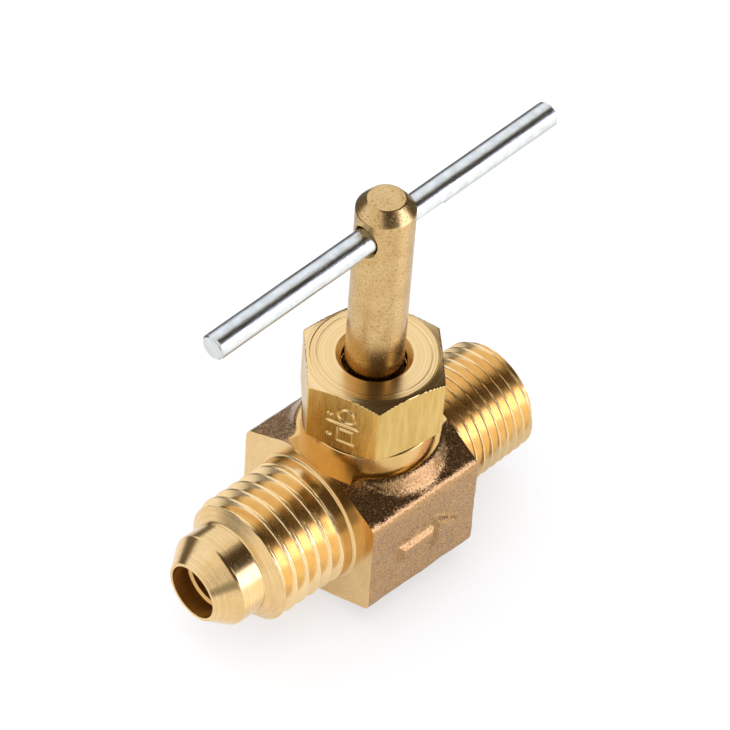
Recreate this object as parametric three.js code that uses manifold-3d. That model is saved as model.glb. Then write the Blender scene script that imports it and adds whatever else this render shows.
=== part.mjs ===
// Brass needle valve with a T-bar handle: 1/4 in SAE flare end by 1/8 in NPT pipe end.
// Millimetres, +Z up. The origin is on the stem axis (Z), level with the bottom of the body, and
// the flow axis runs along X above it. Every height below is measured from the flow axis.
// The pipe end points to +X, the flare end to -X, and the marked wrench flat faces -Y.
import * as THREE from "three";
import { mergeVertices } from "three/addons/utils/BufferGeometryUtils.js";
import Module from "manifold-3d";

const wasm = await Module();
wasm.setup();

// ---------- driving dimensions ----------
const FINE = 40; // facets round the large turned surfaces
const PLAIN = 20; // facets round the small ones
const THREAD_FACETS = 20; // facets in one turn of a thread
const FIT = 0.2; // clearance between pieces that touch on the real valve
const OVERLAP = 1; // how far a solid reaches into the one it joins, or past the one it cuts
const CLEAR = 0.3; // how far a chamfer cone's wide end stands outside the surface it trims
const BEYOND = 20; // half size of the boxes that cut the whole valve

// Forged block, a six-sided bar lying along X.
const BLOCK = {
  left: -6.4,
  right: 5.4,
  halfWidth: 7.5,
  sideTop: 4.25,
  sideBottom: -5.1,
  apex: 8.15,
  keel: -7.7,
  keelHalfWidth: 1.0,
  edgeRadius: 1.0,
  cornerShare: 0.45, // share of a side that one rounded corner may use
  endRounding: 0.6,
};

// Turned neck and the forged ring it grows from.
const NECK = { radius: 5.5, shoulder: 6.2, top: 8.3 };
const FORGED_RING = { topRadius: 5.95, footRadius: 6.6, foot: 4.6, endGap: 0.3 };

// Flare end, 7/16-20 UNF, 45 degree flare cone.
const FLARE = {
  tip: -18.9,
  rim: 2.65,
  coneEnd: -17.03,
  land: 4.07,
  landEnd: -14.75,
  landRoot: -14.35,
  chamferEnd: -13.9,
  threadEnd: -7.6,
  threadRoot: -7.4,
  collar: 5.5,
};
const FLARE_THREAD = { major: 5.47, pitch: 1.27, crestAt: -11.35, crestAngle: 225 };

// Pipe end, 1/8-27 NPT, one in sixteen taper.
const PIPE = { tip: 14.95, tipRadius: 4.3, chamferEnd: 13.5, chamferRadius: 6.0 };
const PIPE_THREAD = {
  major: 4.99,
  pitch: 0.9407,
  depth: 0.62,
  crestAt: 14.1,
  taper: 1 / 32,
  taperFrom: PIPE.tip,
};

// Passages.
const FLARE_BORE = {
  counterbore: 2.386,
  step: -17.25,
  stepEnd: -17.1,
  radius: 2.0,
  end: -6.6,
  point: -5.5,
};
const LOW_PORT = { radius: 1.1, z: -0.85, start: -7.1 };
const PIPE_BORE = { radius: 2.4, end: 2.2 };
const SEAT = { well: 1.2, wellFloor: -2.2, floor: 0.9, bevelRadius: 1.5 };
const CHAMBER = { radius: 2.75, threadStart: 1.9, threadEnd: 7.3, tapRadius: 4.75 };
const BOX = { radius: 3.5, floor: 7.2 };

// Stem: 3/16 in rod with a 1/4-28 working thread; at rest the valve stands half open.
const STEM = {
  radius: 2.4,
  top: 31.9,
  topFlat: 1.5,
  chamferStart: 30.8,
  threadBottom: 3.35,
  threadTop: 6.0,
  spigot: 0.95,
  needleTop: 2.4,
  needleTip: 0.2,
  tipRadius: 0.3,
};
const STEM_THREAD = { major: 3.15, pitch: 0.907, crestAt: STEM.threadBottom };
const SEAL_RING = { inner: 1.1, outer: 2.3, bottom: 2.46, top: 3.16 };

// Handle bar through the stem.
const BAR = { z: 28.67, radius: 1.1, halfLength: 18.75, yaw: 2.6, bevel: 0.15 };
const BAR_HOLE = 1.25;
const STAKE = { from: -3.8, to: 5.9, depth: 0.22, tilt: -38, width: 1.8 };

// Packing nut on the 3/8-24 neck thread.
const NUT = {
  bottom: 8.5,
  top: 14.6,
  cornerRadius: 6.31,
  firstCorner: -9.6,
  topFlat: 5.2,
  topChamferEnd: 14.0,
  bottomFlat: 5.55,
  bottomChamferEnd: 8.9,
  mouth: 5.06,
  mouthEnd: 9.0,
  mouthTaperEnd: 9.4,
  hole: 2.75,
  countersink: 3.06,
  countersinkDepth: 0.3,
  roof: 13.5,
};
const NECK_END = { top: 12.0, radius: 3.9, chamferStart: 10.6 };
const NECK_THREAD = { major: 4.76, pitch: 1.058, crestAt: NECK_END.top };

// Packing set in the box, from the bottom up.
const WASHER = { inner: 2.6, outer: 3.3, bottom: 7.4, top: 7.9 };
const RINGS = { inner: 2.6, outer: 3.3, bottom: 8.1, height: 0.65, step: 0.85 };
const GLAND = {
  bore: 2.6,
  sleeve: 3.25,
  bottom: 10.95,
  flange: 4.2,
  flangeBottom: 12.5,
  top: 13.2,
};

// Thread form: a flat-topped V whose depth is this share of the pitch.
const THREAD_DEPTH = 0.6;
const FLANK_ANGLE = Math.PI / 6;

// Raised flow arrow on the marked flat.
const ARROW = { tail: -3.2, neck: 0.6, head: 3.2, shaft: 0.55, wing: 1.5, raise: 0.25, z: -0.4 };

// ---------- geometry helpers ----------
const WELD = 1e-4; // points closer than this are one point

function solid(geometry) {
  const bare = geometry.clone();
  bare.deleteAttribute("normal");
  bare.deleteAttribute("uv");
  const merged = mergeVertices(bare, WELD);
  return new wasm.Manifold(
    new wasm.Mesh({
      numProp: 3,
      vertProperties: merged.attributes.position.array,
      triVerts: new Uint32Array(merged.index.array),
    }),
  );
}

function geometryOf(made) {
  const mesh = made.getMesh();
  const geometry = new THREE.BufferGeometry();
  geometry.setAttribute("position", new THREE.BufferAttribute(mesh.vertProperties, 3));
  geometry.setIndex(new THREE.BufferAttribute(mesh.triVerts, 1));
  geometry.computeVertexNormals();
  return geometry;
}

// A profile of [radius, height] pairs, bottom to top, turned about Z.
function turned(profile, facets = PLAIN) {
  const points = profile.map(([r, h]) => new THREE.Vector2(r, h));
  return new THREE.LatheGeometry(points, facets).rotateX(Math.PI / 2);
}

// The same about X, with the heights measured along X.
function turnedAlongX(profile, facets = PLAIN) {
  return turned(profile, facets).rotateY(Math.PI / 2);
}

// The profile of a plain rod.
function rod(radius, from, to) {
  return [
    [0, from],
    [radius, from],
    [radius, to],
    [0, to],
  ];
}

function ring(inner, outer, bottom, top, facets = PLAIN) {
  return turned(
    [
      [inner, bottom],
      [outer, bottom],
      [outer, top],
      [inner, top],
      [inner, bottom],
    ],
    facets,
  );
}

function box(minimum, maximum) {
  const size = maximum.map((v, i) => v - minimum[i]);
  const centre = maximum.map((v, i) => (v + minimum[i]) / 2);
  return new THREE.BoxGeometry(...size).translate(...centre);
}

// A right-hand threaded rod along Z. The thread form is a flat-topped 60 degree V. A crest centre
// passes height `crestAt` at `crestAngle` degrees. `grow` widens it for an internal thread, and
// `taper` is the loss of radius for each millimetre of height above `taperFrom`.
function threadedRod(thread, from, to, grow = 0) {
  const { major, pitch, crestAt, crestAngle = 0 } = thread;
  const { taper = 0, taperFrom = 0, depth = THREAD_DEPTH } = thread;
  const minor = major - depth * pitch;
  const flank = depth * pitch * Math.tan(FLANK_ANGLE);
  const crestFlat = pitch / 8;
  const rootFlat = pitch - crestFlat - 2 * flank;
  const form = [
    [0, minor + grow],
    [rootFlat, minor + grow],
    [rootFlat + flank, major + grow],
    [rootFlat + flank + crestFlat, major + grow],
  ];
  const crestOffset = rootFlat + flank + crestFlat / 2;
  const phase = crestAt - crestOffset - (pitch * crestAngle) / 360;
  const first = Math.floor((from - phase) / pitch) - 2;
  const turns = Math.ceil((to - from) / pitch) + 4;
  const start = phase + first * pitch;
  const steps = turns * THREAD_FACETS;
  const positions = [];
  for (let k = 0; k <= steps; k += 1) {
    const angle = (2 * Math.PI * k) / THREAD_FACETS;
    form.forEach(([offset, radius]) => {
      const z = start + (pitch * k) / THREAD_FACETS + offset;
      const r = radius - taper * (z - taperFrom);
      positions.push(r * Math.cos(angle), r * Math.sin(angle), z);
    });
  }
  const lastTurn = [];
  for (let k = 0; k <= THREAD_FACETS; k += 1) {
    const angle = (2 * Math.PI * k) / THREAD_FACETS;
    const z = start + (pitch * (steps + k)) / THREAD_FACETS;
    if (k > 0) {
      const r = minor + grow - taper * (z - taperFrom);
      lastTurn.push(positions.length / 3);
      positions.push(r * Math.cos(angle), r * Math.sin(angle), z);
    }
  }
  const vertex = (k, p) => {
    if (p < form.length) return k * form.length + p;
    const next = k + THREAD_FACETS;
    return next <= steps ? next * form.length : lastTurn[next - steps - 1];
  };
  const index = [];
  for (let k = 0; k < steps; k += 1) {
    for (let p = 0; p < form.length; p += 1) {
      index.push(vertex(k, p), vertex(k + 1, p), vertex(k, p + 1));
      index.push(vertex(k + 1, p), vertex(k + 1, p + 1), vertex(k, p + 1));
    }
  }
  const low = positions.length / 3;
  positions.push(0, 0, start + pitch / 2);
  const high = low + 1;
  positions.push(0, 0, start + pitch * (turns + 0.5));
  const lowLoop = [];
  const highLoop = [];
  for (let k = 0; k < THREAD_FACETS; k += 1) {
    lowLoop.push(vertex(k, 0));
    highLoop.push(vertex(steps - THREAD_FACETS + k, form.length));
  }
  for (let p = form.length; p > 0; p -= 1) {
    lowLoop.push(vertex(0, p));
    highLoop.push(vertex(steps, p));
  }
  lowLoop.forEach((v, i) => index.push(low, lowLoop[(i + 1) % lowLoop.length], v));
  highLoop.forEach((v, i) => index.push(high, v, highLoop[(i + 1) % highLoop.length]));
  const geometry = new THREE.BufferGeometry();
  geometry.setAttribute("position", new THREE.BufferAttribute(new Float32Array(positions), 3));
  geometry.setIndex(index);
  return geometry;
}

// Moves a geometry built along Z so that it lies along X.
function alongX(geometry) {
  return geometry.rotateY(Math.PI / 2);
}

// ---------- forged block ----------
function roundedOutline(corners, radius) {
  const shape = new THREE.Shape();
  corners.forEach((corner, i) => {
    const at = new THREE.Vector2(...corner);
    const before = new THREE.Vector2(...corners[(i + corners.length - 1) % corners.length]);
    const after = new THREE.Vector2(...corners[(i + 1) % corners.length]);
    const toBefore = before.clone().sub(at).normalize();
    const toAfter = after.clone().sub(at).normalize();
    const half = toBefore.angleTo(toAfter) / 2;
    const shorterSide = Math.min(before.distanceTo(at), after.distanceTo(at));
    const setback = Math.min(radius / Math.tan(half), BLOCK.cornerShare * shorterSide);
    const enter = at.clone().addScaledVector(toBefore, setback);
    const leave = at.clone().addScaledVector(toAfter, setback);
    if (i === 0) shape.moveTo(enter.x, enter.y);
    else shape.lineTo(enter.x, enter.y);
    shape.quadraticCurveTo(at.x, at.y, leave.x, leave.y);
  });
  shape.closePath();
  return shape;
}

function forgedBlock() {
  const keel = BLOCK.keelHalfWidth;
  const corners = [
    [-BLOCK.halfWidth, BLOCK.sideBottom],
    [-keel, BLOCK.keel],
    [keel, BLOCK.keel],
    [BLOCK.halfWidth, BLOCK.sideBottom],
    [BLOCK.halfWidth, BLOCK.sideTop],
    [0, BLOCK.apex],
    [-BLOCK.halfWidth, BLOCK.sideTop],
  ];
  const inset = BLOCK.endRounding;
  const length = BLOCK.right - BLOCK.left;
  const outline = new THREE.ExtrudeGeometry(roundedOutline(corners, BLOCK.edgeRadius), {
    depth: length,
    curveSegments: 3,
    bevelEnabled: true,
    bevelThickness: inset,
    bevelSize: inset,
    bevelOffset: -inset,
    bevelSegments: 2,
  });
  const lay = new THREE.Matrix4().makeBasis(
    new THREE.Vector3(0, 1, 0),
    new THREE.Vector3(0, 0, 1),
    new THREE.Vector3(1, 0, 0),
  );
  outline.applyMatrix4(lay).translate(BLOCK.left - inset, 0, 0);
  return solid(outline);
}

function forgedRing() {
  const cone = turned(
    [
      [0, FORGED_RING.foot - OVERLAP],
      [FORGED_RING.footRadius, FORGED_RING.foot - OVERLAP],
      [FORGED_RING.footRadius, FORGED_RING.foot],
      [FORGED_RING.topRadius, NECK.shoulder],
      [FORGED_RING.topRadius, NECK.shoulder + OVERLAP],
      [0, NECK.shoulder + OVERLAP],
    ],
    FINE,
  );
  const keep = box(
    [BLOCK.left - OVERLAP, -BEYOND, 0],
    [BLOCK.right - FORGED_RING.endGap, BEYOND, BEYOND],
  );
  return solid(cone).intersect(solid(keep));
}

// The machining cuts: the square end face on the flare side and the flat shoulder round the neck.
function machinedBlock() {
  const keep = box([BLOCK.left, -BEYOND, -BEYOND], [BEYOND, BEYOND, NECK.shoulder]);
  return forgedBlock().add(forgedRing()).intersect(solid(keep));
}

function flowArrow() {
  const shape = new THREE.Shape();
  shape.moveTo(ARROW.tail, -ARROW.shaft);
  shape.lineTo(ARROW.neck, -ARROW.shaft);
  shape.lineTo(ARROW.neck, -ARROW.wing);
  shape.lineTo(ARROW.head, 0);
  shape.lineTo(ARROW.neck, ARROW.wing);
  shape.lineTo(ARROW.neck, ARROW.shaft);
  shape.lineTo(ARROW.tail, ARROW.shaft);
  shape.closePath();
  const arrow = new THREE.ExtrudeGeometry(shape, {
    depth: ARROW.raise + OVERLAP,
    bevelEnabled: false,
  });
  arrow.rotateX(Math.PI / 2).translate(0, -BLOCK.halfWidth + OVERLAP, ARROW.z);
  return solid(arrow);
}

// ---------- valve body ----------
function flareEnd() {
  const nose = turnedAlongX(
    [
      [0, FLARE.tip],
      [FLARE.rim, FLARE.tip],
      [FLARE.land, FLARE.coneEnd],
      [FLARE.land, FLARE.landRoot],
      [0, FLARE.landRoot],
    ],
    FINE,
  );
  const envelope = turnedAlongX(
    [
      [0, FLARE.landEnd],
      [FLARE.land, FLARE.landEnd],
      [FLARE_THREAD.major + CLEAR, FLARE.chamferEnd],
      [FLARE_THREAD.major + CLEAR, FLARE.threadRoot],
      [0, FLARE.threadRoot],
    ],
    FINE,
  );
  const thread = alongX(threadedRod(FLARE_THREAD, FLARE.landEnd, FLARE.threadEnd));
  const collar = turnedAlongX(rod(FLARE.collar, FLARE.threadEnd, BLOCK.left + OVERLAP), FINE);
  const screw = solid(thread).intersect(solid(envelope));
  return solid(nose).add(screw).add(solid(collar));
}

function pipeEnd() {
  const envelope = turnedAlongX(
    [
      [0, BLOCK.right - OVERLAP],
      [PIPE.chamferRadius, BLOCK.right - OVERLAP],
      [PIPE.chamferRadius, PIPE.chamferEnd],
      [PIPE.tipRadius, PIPE.tip],
      [0, PIPE.tip],
    ],
    FINE,
  );
  const thread = alongX(threadedRod(PIPE_THREAD, BLOCK.right - OVERLAP, PIPE.tip));
  return solid(thread).intersect(solid(envelope));
}

function neck() {
  const cylinder = turned(rod(NECK.radius, BLOCK.sideTop, NECK.top), FINE);
  const thread = threadedRod(NECK_THREAD, NECK.top - OVERLAP, NECK_END.top);
  const envelope = turned(
    [
      [0, NECK.top - OVERLAP],
      [NECK.radius, NECK.top - OVERLAP],
      [NECK.radius, NECK_END.chamferStart],
      [NECK_END.radius, NECK_END.top],
      [0, NECK_END.top],
    ],
    FINE,
  );
  return solid(cylinder).add(solid(thread).intersect(solid(envelope)));
}

function passages() {
  const flareBore = turnedAlongX(
    [
      [0, FLARE.tip - OVERLAP],
      [FLARE_BORE.counterbore, FLARE.tip - OVERLAP],
      [FLARE_BORE.counterbore, FLARE_BORE.step],
      [FLARE_BORE.radius, FLARE_BORE.stepEnd],
      [FLARE_BORE.radius, FLARE_BORE.end],
      [0, FLARE_BORE.point],
    ],
  );
  const lowPort = turnedAlongX(rod(LOW_PORT.radius, LOW_PORT.start, 0));
  lowPort.translate(0, 0, LOW_PORT.z);
  const pipeBore = turnedAlongX(rod(PIPE_BORE.radius, PIPE_BORE.end, PIPE.tip + OVERLAP));
  const stack = turned(
    [
      [0, SEAT.wellFloor],
      [SEAT.well, SEAT.wellFloor],
      [SEAT.well, SEAT.floor - (SEAT.bevelRadius - SEAT.well)],
      [SEAT.bevelRadius, SEAT.floor],
      [CHAMBER.radius, SEAT.floor],
      [CHAMBER.radius, BOX.floor],
      [BOX.radius, BOX.floor],
      [BOX.radius, NECK_END.top + OVERLAP],
      [0, NECK_END.top + OVERLAP],
    ],
  );
  const tapEnvelope = turned(rod(CHAMBER.tapRadius, CHAMBER.threadStart, CHAMBER.threadEnd));
  const tap = solid(threadedRod(STEM_THREAD, CHAMBER.threadStart, BOX.floor, FIT));
  return solid(flareBore)
    .add(solid(lowPort))
    .add(solid(pipeBore))
    .add(solid(stack))
    .add(tap.intersect(solid(tapEnvelope)));
}

function valveBody() {
  return machinedBlock()
    .add(flowArrow())
    .add(flareEnd())
    .add(pipeEnd())
    .add(neck())
    .subtract(passages());
}

// ---------- stem and handle ----------
function stem() {
  const bevel = STEM_THREAD.major + CLEAR - STEM.radius;
  const shaft = turned([
    [0, STEM.needleTip],
    [STEM.tipRadius, STEM.needleTip],
    [STEM.spigot, STEM.needleTop],
    [STEM.spigot, STEM.threadBottom],
    [STEM.radius, STEM.threadBottom],
    [STEM.radius, STEM.chamferStart],
    [STEM.topFlat, STEM.top],
    [0, STEM.top],
  ]);
  const envelope = turned([
    [0, STEM.threadBottom],
    [STEM.radius, STEM.threadBottom],
    [STEM_THREAD.major + CLEAR, STEM.threadBottom + bevel],
    [STEM_THREAD.major + CLEAR, STEM.threadTop - bevel],
    [STEM.radius, STEM.threadTop],
    [0, STEM.threadTop],
  ]);
  const thread = solid(threadedRod(STEM_THREAD, STEM.threadBottom, STEM.threadTop));
  const hole = turnedAlongX(rod(BAR_HOLE, -STEM.radius - OVERLAP, STEM.radius + OVERLAP));
  hole.rotateZ(THREE.MathUtils.degToRad(BAR.yaw)).translate(0, 0, BAR.z);
  return solid(shaft).add(thread.intersect(solid(envelope))).subtract(solid(hole));
}

function handleBar() {
  const bar = turnedAlongX([
    [0, -BAR.halfLength],
    [BAR.radius - BAR.bevel, -BAR.halfLength],
    [BAR.radius, -BAR.halfLength + BAR.bevel],
    [BAR.radius, BAR.halfLength - BAR.bevel],
    [BAR.radius - BAR.bevel, BAR.halfLength],
    [0, BAR.halfLength],
  ]);
  const stake = (from, to) => {
    const cut = box(
      [from, -STAKE.width, -BAR.radius - OVERLAP],
      [to, STAKE.width, -BAR.radius + STAKE.depth],
    );
    return solid(cut.rotateX(THREE.MathUtils.degToRad(STAKE.tilt)));
  };
  return solid(bar)
    .subtract(stake(STAKE.from, -STEM.radius))
    .subtract(stake(STEM.radius, STAKE.to));
}

// ---------- packing nut and packing set ----------
function packingNut() {
  const height = NUT.top - NUT.bottom;
  const prism = new THREE.CylinderGeometry(NUT.cornerRadius, NUT.cornerRadius, height, 6);
  prism.rotateX(Math.PI / 2).rotateZ(THREE.MathUtils.degToRad(NUT.firstCorner + 30));
  prism.translate(0, 0, NUT.bottom + height / 2);
  const beyond = NUT.cornerRadius + CLEAR;
  const envelope = turned(
    [
      [0, NUT.bottom],
      [NUT.bottomFlat, NUT.bottom],
      [beyond, NUT.bottomChamferEnd],
      [beyond, NUT.topChamferEnd],
      [NUT.topFlat, NUT.top],
      [0, NUT.top],
    ],
    FINE,
  );
  const cavity = turned([
    [0, NUT.bottom - OVERLAP],
    [NUT.mouth, NUT.bottom - OVERLAP],
    [NUT.mouth, NUT.mouthEnd],
    [GLAND.flange + FIT, NUT.mouthTaperEnd],
    [GLAND.flange + FIT, NUT.roof],
    [NUT.hole, NUT.roof],
    [NUT.hole, NUT.top - NUT.countersinkDepth],
    [NUT.countersink, NUT.top],
    [NUT.countersink, NUT.top + OVERLAP],
    [0, NUT.top + OVERLAP],
  ]);
  const tapEnvelope = turned(rod(NUT.cornerRadius, NUT.bottom - OVERLAP, GLAND.flangeBottom));
  const tap = solid(threadedRod(NECK_THREAD, NUT.bottom - OVERLAP, GLAND.flangeBottom, FIT));
  return solid(prism)
    .intersect(solid(envelope))
    .subtract(solid(cavity))
    .subtract(tap.intersect(solid(tapEnvelope)));
}

function packingGland() {
  return turned([
    [GLAND.bore, GLAND.bottom],
    [GLAND.sleeve, GLAND.bottom],
    [GLAND.sleeve, GLAND.flangeBottom],
    [GLAND.flange, GLAND.flangeBottom],
    [GLAND.flange, GLAND.top],
    [GLAND.bore, GLAND.top],
    [GLAND.bore, GLAND.bottom],
  ]);
}

function packingRing(number) {
  const bottom = RINGS.bottom + number * RINGS.step;
  return ring(RINGS.inner, RINGS.outer, bottom, bottom + RINGS.height);
}

// ---------- assembly ----------
function finish(color, roughness, metalness) {
  return new THREE.MeshStandardMaterial({ color, roughness, metalness, flatShading: true });
}

function piece(name, geometry, material) {
  const mesh = new THREE.Mesh(geometry, material);
  mesh.name = name;
  return mesh;
}

const forgedBrass = finish(0xc79a5b, 0.42, 0.9);
const turnedBrass = finish(0xd2ab58, 0.3, 1.0);
const zincPlate = finish(0xb9bcc0, 0.35, 0.95);
const packingWhite = finish(0xe9e6dc, 0.6, 0.0);

const valve = new THREE.Group();
valve.add(piece("valve_body", geometryOf(valveBody()), forgedBrass));

const packing = new THREE.Group();
const washer = ring(WASHER.inner, WASHER.outer, WASHER.bottom, WASHER.top);
packing.add(piece("packing_washer", washer, turnedBrass.clone()));
["lower", "middle", "upper"].forEach((level, i) => {
  packing.add(piece("packing_ring_" + level, packingRing(i), packingWhite.clone()));
});
packing.add(piece("packing_gland", packingGland(), turnedBrass.clone()));
packing.add(piece("packing_nut", geometryOf(packingNut()), turnedBrass));
valve.add(packing);

const spindle = new THREE.Group();
spindle.add(piece("stem", geometryOf(stem()), turnedBrass.clone()));
const seal = ring(SEAL_RING.inner, SEAL_RING.outer, SEAL_RING.bottom, SEAL_RING.top);
spindle.add(piece("stem_seal_ring", seal, packingWhite));
const bar = piece("handle_bar", geometryOf(handleBar()), zincPlate);
bar.rotation.z = THREE.MathUtils.degToRad(BAR.yaw);
bar.position.z = BAR.z;
spindle.add(bar);
valve.add(spindle);
valve.position.z = -BLOCK.keel;

const object = new THREE.Group();
object.add(valve);

export default object;
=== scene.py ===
"""Looks of a small brass needle valve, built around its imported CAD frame.

Every shape is worked out in millimetres, with heights measured from the flow axis, and stored
in metres in the frame: +X out of the pipe end, -X out of the flare end, +Z up the stem, -Y out
of the marked flat. The frame's origin is under the flow axis, at the bottom of the body.
"""

import math

import bpy
import numpy as np
from mathutils import Matrix, Vector


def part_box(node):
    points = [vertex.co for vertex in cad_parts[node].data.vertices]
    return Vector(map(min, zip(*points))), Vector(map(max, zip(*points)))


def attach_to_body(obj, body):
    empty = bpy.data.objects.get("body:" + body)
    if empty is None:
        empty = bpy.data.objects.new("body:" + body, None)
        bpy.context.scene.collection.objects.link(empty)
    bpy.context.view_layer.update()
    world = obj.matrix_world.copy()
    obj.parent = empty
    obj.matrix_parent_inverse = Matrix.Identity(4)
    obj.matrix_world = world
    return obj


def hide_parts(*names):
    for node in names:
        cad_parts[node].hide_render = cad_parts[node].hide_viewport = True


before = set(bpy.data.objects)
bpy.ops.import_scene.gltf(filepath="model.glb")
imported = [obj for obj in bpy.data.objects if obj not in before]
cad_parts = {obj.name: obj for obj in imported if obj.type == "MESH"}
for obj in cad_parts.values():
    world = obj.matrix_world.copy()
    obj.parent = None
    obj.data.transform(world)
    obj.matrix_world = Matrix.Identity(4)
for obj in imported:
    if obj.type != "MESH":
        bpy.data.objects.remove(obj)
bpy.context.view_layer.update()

MM = 0.001
FLOW_AXIS = np.array([0.0, 0.0, 7.7])


def extent(node):
    low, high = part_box(node)
    return np.array(low) / MM - FLOW_AXIS, np.array(high) / MM - FLOW_AXIS


# ---------- sizes in millimetres, from the frame where it has them ----------
body_low, body_high = extent("valve_body")
nut_low, nut_high = extent("packing_nut")
stem_low, stem_high = extent("stem")
bar_low, bar_high = extent("handle_bar")
gland_low, gland_high = extent("packing_gland")

BLOCK_LEFT = -6.4
BLOCK_RIGHT = 5.4
HALF_WIDTH = body_high[1]
KEEL = body_low[2]
KEEL_HALF_WIDTH = 1.0
SIDE_TOP = 4.25
SIDE_BOTTOM = -5.1
RIDGE = 8.15
BACK_DROP = 0.25
SHOULDER = 6.2
NECK_RADIUS = 5.5
NECK_STEP = 8.3
NECK_TOP = body_high[2]
SPOT_FACE = 6.7
FORGED_TOP = 6.45
RING_TOP = 6.27
RING_TOP_RADIUS = 5.92
RING_FOOT_RADIUS = 6.68
RING_FOOT = 4.9
RING_BURIED = 0.5
ARROW_RAISE = 0.42

# Roundings of the forging, as the k of soft_max and soft_min.
ROOF_EDGE = 0.6
BELLY_EDGE = 0.5
TOP_EDGE = 0.4
END_EDGE = 0.35
RING_FILLET = 0.22

FLARE_TIP = body_low[0]
FLARE_RIM = 2.646
FLARE_CONE_END = -17.03
FLARE_LAND = 4.07
FLARE_LAND_END = -14.75
FLARE_CHAMFER_END = -13.9
FLARE_CHAMFER_RADIUS = 5.77
FLARE_THREAD_END = -7.6
COLLAR = 5.5
COUNTERBORE = 2.386
COUNTERBORE_END = -17.25
FLARE_BORE = 2.12
FLARE_BORE_END = -6.6
FLARE_BORE_POINT = -5.5

PIPE_TIP = body_high[0]
PIPE_TIP_RADIUS = 4.3
PIPE_CHAMFER_START = 13.5
PIPE_CHAMFER_RADIUS = 6.0
PIPE_BORE = 2.4
PIPE_BORE_START = 2.2

# Hidden passages between the two bores, and the packing box above them.
LOW_PORT = 1.1
LOW_PORT_START = -7.1
LOW_PORT_DROP = 0.85
SEAT_BORE = 1.2
SEAT_BORE_BOTTOM = -2.2
SEAT_EDGE = 0.6
SEAT_MOUTH = 1.5
CHAMBER = 2.75
CHAMBER_FLOOR = 0.9
TAP_START = 1.92
PACKING_FLOOR = 7.2
PACKING_BOX = 3.5
PACKING_INNER = 2.6
PACKING_OUTER = 3.3
SEAL_INNER = 1.1
SEAL_OUTER = 2.3
GLAND_SLEEVE = 3.25
GLAND_FLANGE = 4.2
GLAND_FLANGE_HEIGHT = 0.7

STEM_RADIUS = 2.4
STEM_TOP = stem_high[2]
STEM_TIP = stem_low[2]
STEM_SHOULDER = 3.35
STEM_THREAD_TOP = 6.1
STEM_CHAMFER_START = 30.8
STEM_TOP_RADIUS = 1.5
NEEDLE_RADIUS = 0.95
NEEDLE_TIP_RADIUS = 0.3
NEEDLE_TAPER_TOP = 2.4
BAR_RADIUS = (bar_high[2] - bar_low[2]) / 2
BAR_Z = (bar_high[2] + bar_low[2]) / 2
BAR_YAW = math.radians(2.6)
BAR_HALF = 18.75

NUT_BOTTOM = nut_low[2]
NUT_TOP = nut_high[2]
NUT_CORNER = 6.31
NUT_FIRST_CORNER = math.radians(-9.6)
MARKED_FLAT = math.radians(-159.6)
NUT_ROOF = 13.5
NUT_HOLE = 2.63
NUT_COUNTERSINK = 3.06

# Threads: radius over the crests, pitch, a height that a crest passes, and at what angle.
FLARE_THREAD = {"major": 5.47, "pitch": 1.27, "crest_at": -11.48, "angle": math.radians(135)}
PIPE_THREAD = {"major": 4.99, "pitch": 0.9407, "crest_at": 13.61, "angle": -math.pi / 2}
NECK_THREAD = {"major": 4.76, "pitch": 1.058, "crest_at": NECK_TOP, "angle": 0.0}
STEM_THREAD = {"major": 3.15, "pitch": 0.907, "crest_at": STEM_SHOULDER, "angle": 0.0}
PIPE_TAPER = 1 / 32
THREAD_DEPTH = 0.66
PIPE_THREAD_DEPTH = 0.78
THREAD_EDGE = 0.08
THREAD_FIT = 0.2
ON_AXIS = 0.001


# ---------- smooth maths ----------
def soft_max(a, b, k):
    return np.maximum(a, b) + np.maximum(k - np.abs(a - b), 0) ** 2 / (4 * k)


def soft_min(a, b, k):
    return -soft_max(-a, -b, k)


def ease(low, high, value):
    t = np.clip((value - low) / (high - low), 0, 1)
    return t * t * (3 - 2 * t)


def angles(columns):
    """Even steps once round, in radians."""
    return np.arange(columns) * 2 * math.pi / columns


def ripple(x, y, z, seed, wavelength):
    """A gentle random waviness between about -1 and 1, the same on every run."""
    rng = np.random.default_rng(seed)
    total = np.zeros_like(x)
    waves = 10
    for _ in range(waves):
        direction = rng.normal(size=3)
        direction *= 2 * math.pi / (wavelength * np.linalg.norm(direction)) * rng.uniform(0.6, 1.5)
        total += np.sin(direction[0] * x + direction[1] * y + direction[2] * z + rng.uniform(0, 6.28))
    return total / math.sqrt(waves)


# ---------- meshes ----------
def make_object(name, points, quads, tris, slots, slot=0):
    """An object from points in mm and arrays of quads and triangles."""
    mesh = bpy.data.meshes.new(name)
    corners = np.concatenate([quads.ravel(), tris.ravel()]).astype(np.int32)
    starts = np.concatenate(
        [np.arange(len(quads)) * 4, len(quads) * 4 + np.arange(len(tris)) * 3]
    ).astype(np.int32)
    mesh.vertices.add(len(points))
    places = (np.asarray(points) + FLOW_AXIS) * MM
    mesh.vertices.foreach_set("co", places.astype(np.float32).ravel())
    mesh.loops.add(len(corners))
    mesh.loops.foreach_set("vertex_index", corners)
    mesh.polygons.add(len(starts))
    mesh.polygons.foreach_set("loop_start", starts)
    mesh.update(calc_edges=True)
    for material in slots:
        mesh.materials.append(material)
    mesh.polygons.foreach_set("material_index", np.full(len(starts), slot, np.int32))
    piece = bpy.data.objects.new(name, mesh)
    bpy.context.scene.collection.objects.link(piece)
    return piece


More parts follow.
